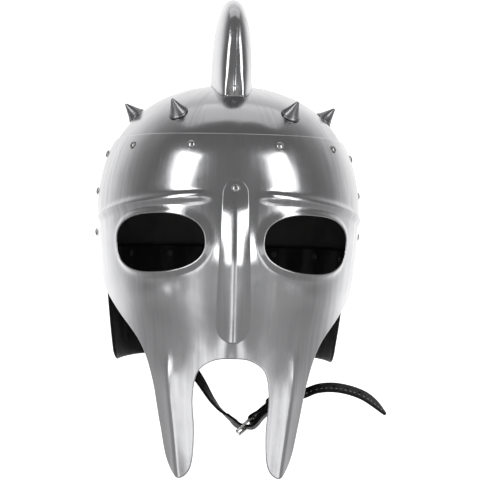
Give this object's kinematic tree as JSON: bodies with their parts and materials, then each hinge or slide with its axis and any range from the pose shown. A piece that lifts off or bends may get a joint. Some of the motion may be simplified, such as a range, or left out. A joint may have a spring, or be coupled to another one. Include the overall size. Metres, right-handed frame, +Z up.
{
  "type": "gladiator helmet",
  "caption": "Steel gladiator helmet with a riveted face mask, nasal, hollow comb and studs, a leather neck flap and a buckled leather chin strap.",
  "frame": {"origin": "inside of the crown, where the bowl sits on the wearer's head", "axes": "+Z up through the crown, -Y out of the face, +X towards the wearer's left"},
  "size_m": [0.2419, 0.2603, 0.3832],
  "materials": {
    "bowl_steel": "polished and lightly brushed",
    "mask_steel": "polished and lightly brushed",
    "nasal_steel": "polished and lightly brushed",
    "comb_steel": "polished and lightly brushed",
    "stud_steel": "dark satin",
    "rivet_steel": "satin",
    "flap_leather": "black, semi-gloss",
    "strap_leather": "black, semi-gloss",
    "buckle_metal": "nickel plated"
  },
  "bodies": {
    "root": {"bowl": "bowl_steel", "face_mask": "mask_steel", "nasal": "nasal_steel", "crest": "comb_steel", "stud_left_1": "stud_steel", "stud_left_2": "stud_steel", "stud_left_3": "stud_steel", "stud_right_1": "stud_steel", "stud_right_2": "stud_steel", "stud_right_3": "stud_steel", "rivet_mask_left_1": "rivet_steel", "rivet_mask_left_2": "rivet_steel", "rivet_mask_left_3": "rivet_steel", "rivet_mask_left_4": "rivet_steel", "rivet_mask_right_1": "rivet_steel", "rivet_mask_right_2": "rivet_steel", "rivet_mask_right_3": "rivet_steel", "rivet_mask_right_4": "rivet_steel", "rivet_strap_left": "rivet_steel", "rivet_strap_right": "rivet_steel", "rivet_flap_left_1": "rivet_steel", "rivet_flap_left_2": "rivet_steel", "rivet_flap_left_3": "rivet_steel", "rivet_flap_middle": "rivet_steel", "rivet_flap_right_1": "rivet_steel", "rivet_flap_right_2": "rivet_steel", "rivet_flap_right_3": "rivet_steel", "rivet_nasal": "rivet_steel", "neck_flap": "flap_leather", "strap_billet": "strap_leather", "strap_buckle": "strap_leather", "strap_keeper": "strap_leather", "strap_rivet_1": "buckle_metal", "strap_rivet_2": "buckle_metal", "buckle_frame": "buckle_metal", "buckle_prong": "buckle_metal"}
  },
  "joints": []
}
